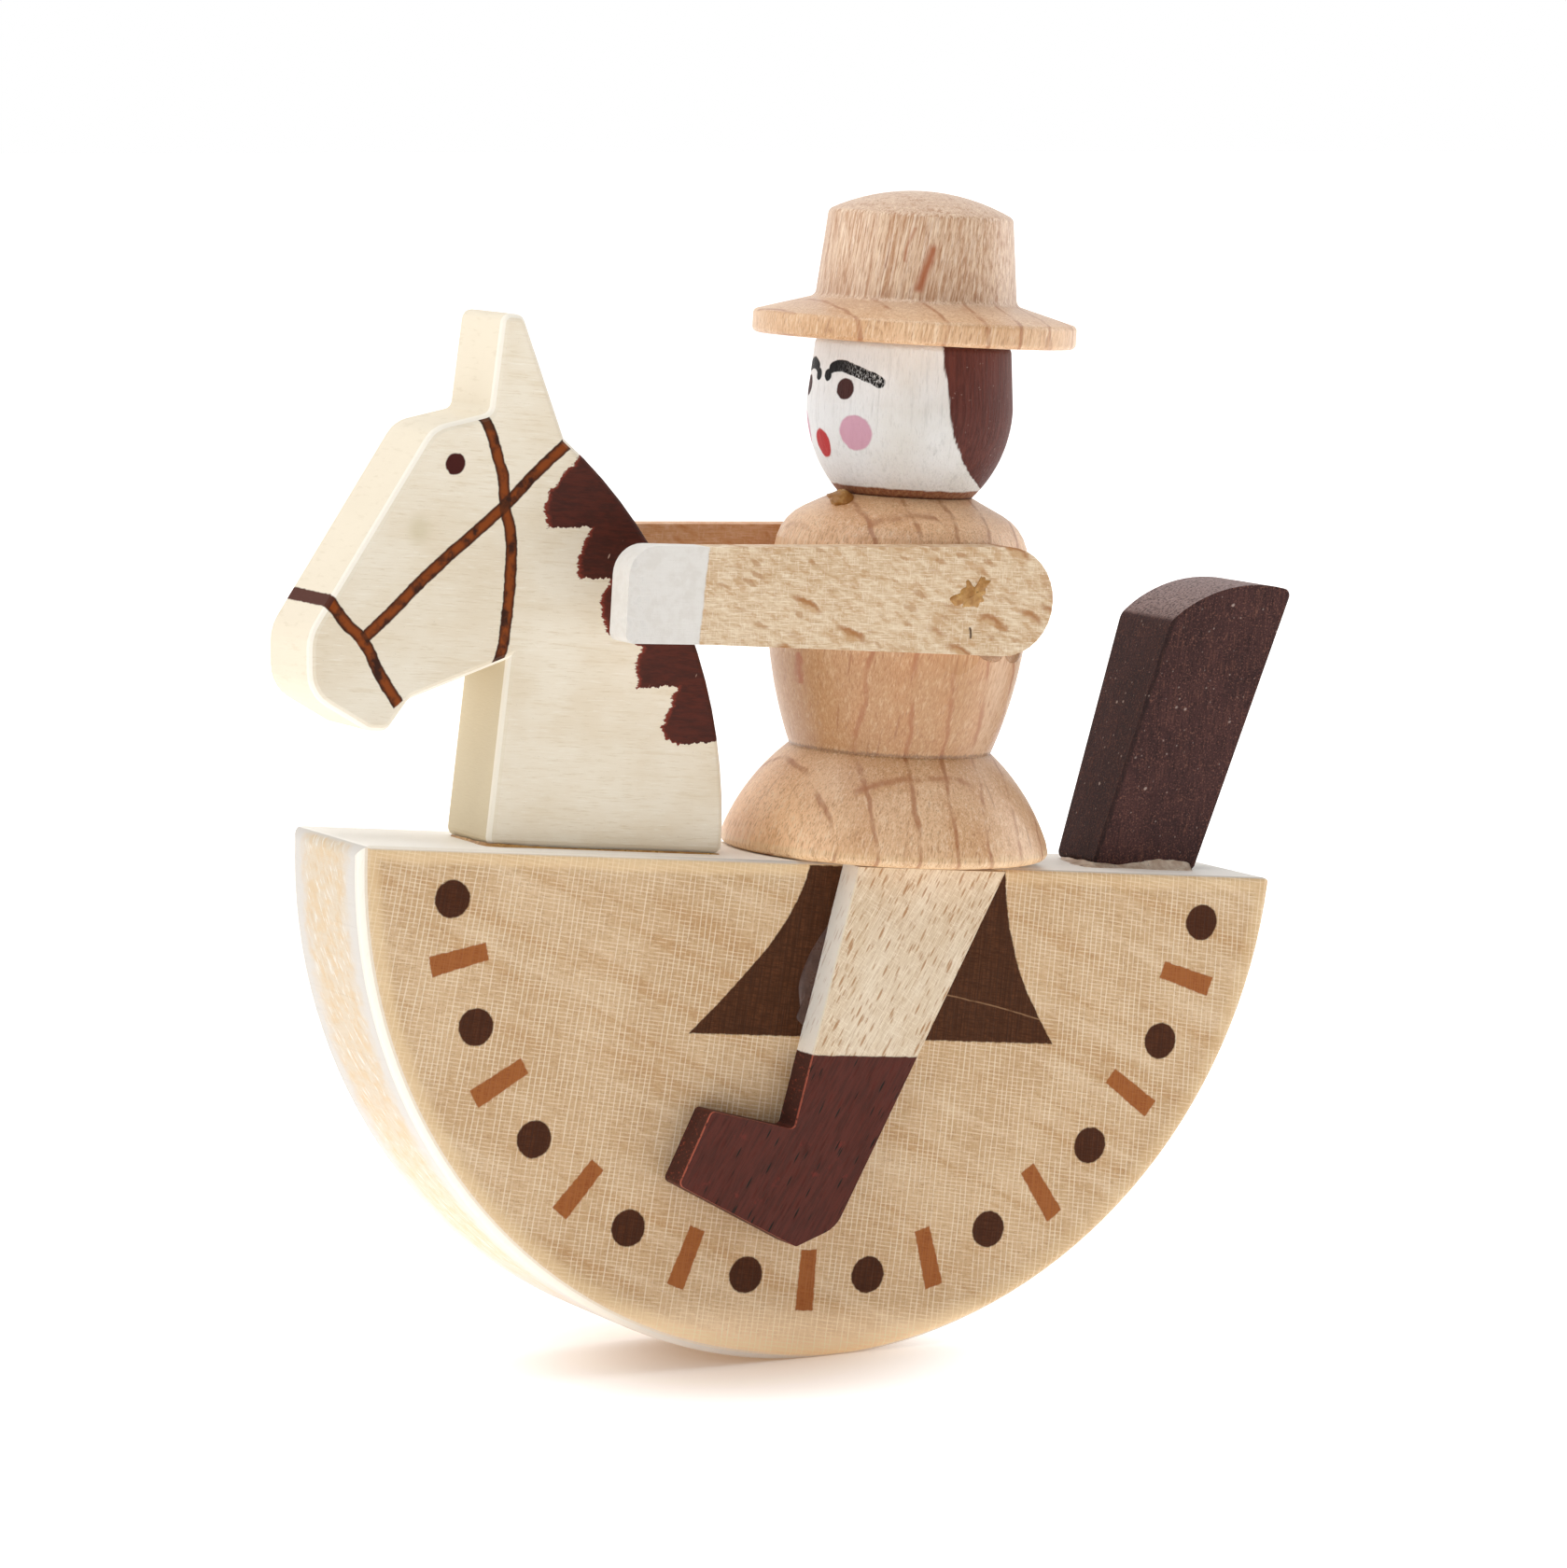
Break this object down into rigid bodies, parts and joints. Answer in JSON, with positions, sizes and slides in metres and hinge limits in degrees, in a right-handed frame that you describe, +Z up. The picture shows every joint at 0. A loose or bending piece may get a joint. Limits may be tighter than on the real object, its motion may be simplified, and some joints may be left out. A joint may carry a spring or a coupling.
{
  "type": "balancing rider toy",
  "caption": "Wooden balancing rider toy: a turned rider in a brimmed hat sits behind a sawn horse head on a half-round board that rocks on its curved edge.",
  "frame": {"origin": "the middle of the small flat on the board's curved edge, on which the toy stands at rest", "axes": "+X from the horse's nose to its tail, +Y across the board to the rider's right, +Z up"},
  "size_m": [0.1021, 0.0306, 0.1071],
  "materials": {
    "board_maple": "waxed pale maple with printed brown marks and a printed saddle",
    "horse_paint": "thin cream paint, with painted mane, bridle and eye",
    "tail_stain": "dark purple-brown stain, matt",
    "turned_beech": "waxed turned beech",
    "head_paint": "off-white paint, with painted face and brown hair",
    "arm_beech": "sawn beech, with the hand painted white",
    "leg_beech": "sawn beech, with the boot painted red-brown",
    "dowel_beech": "plain beech rod"
  },
  "bodies": {
    "root": {"rocker_board": "board_maple", "horse_head": "horse_paint", "tail": "tail_stain", "rider_body": "turned_beech", "rider_head": "head_paint", "hat": "turned_beech", "left_arm": "arm_beech", "right_arm": "arm_beech", "left_leg": "leg_beech", "right_leg": "leg_beech", "front_neck_dowel": "dowel_beech", "rear_neck_dowel": "dowel_beech", "tail_dowel": "dowel_beech", "seat_dowel": "dowel_beech", "head_dowel": "dowel_beech", "hat_dowel": "dowel_beech"}
  },
  "joints": []
}
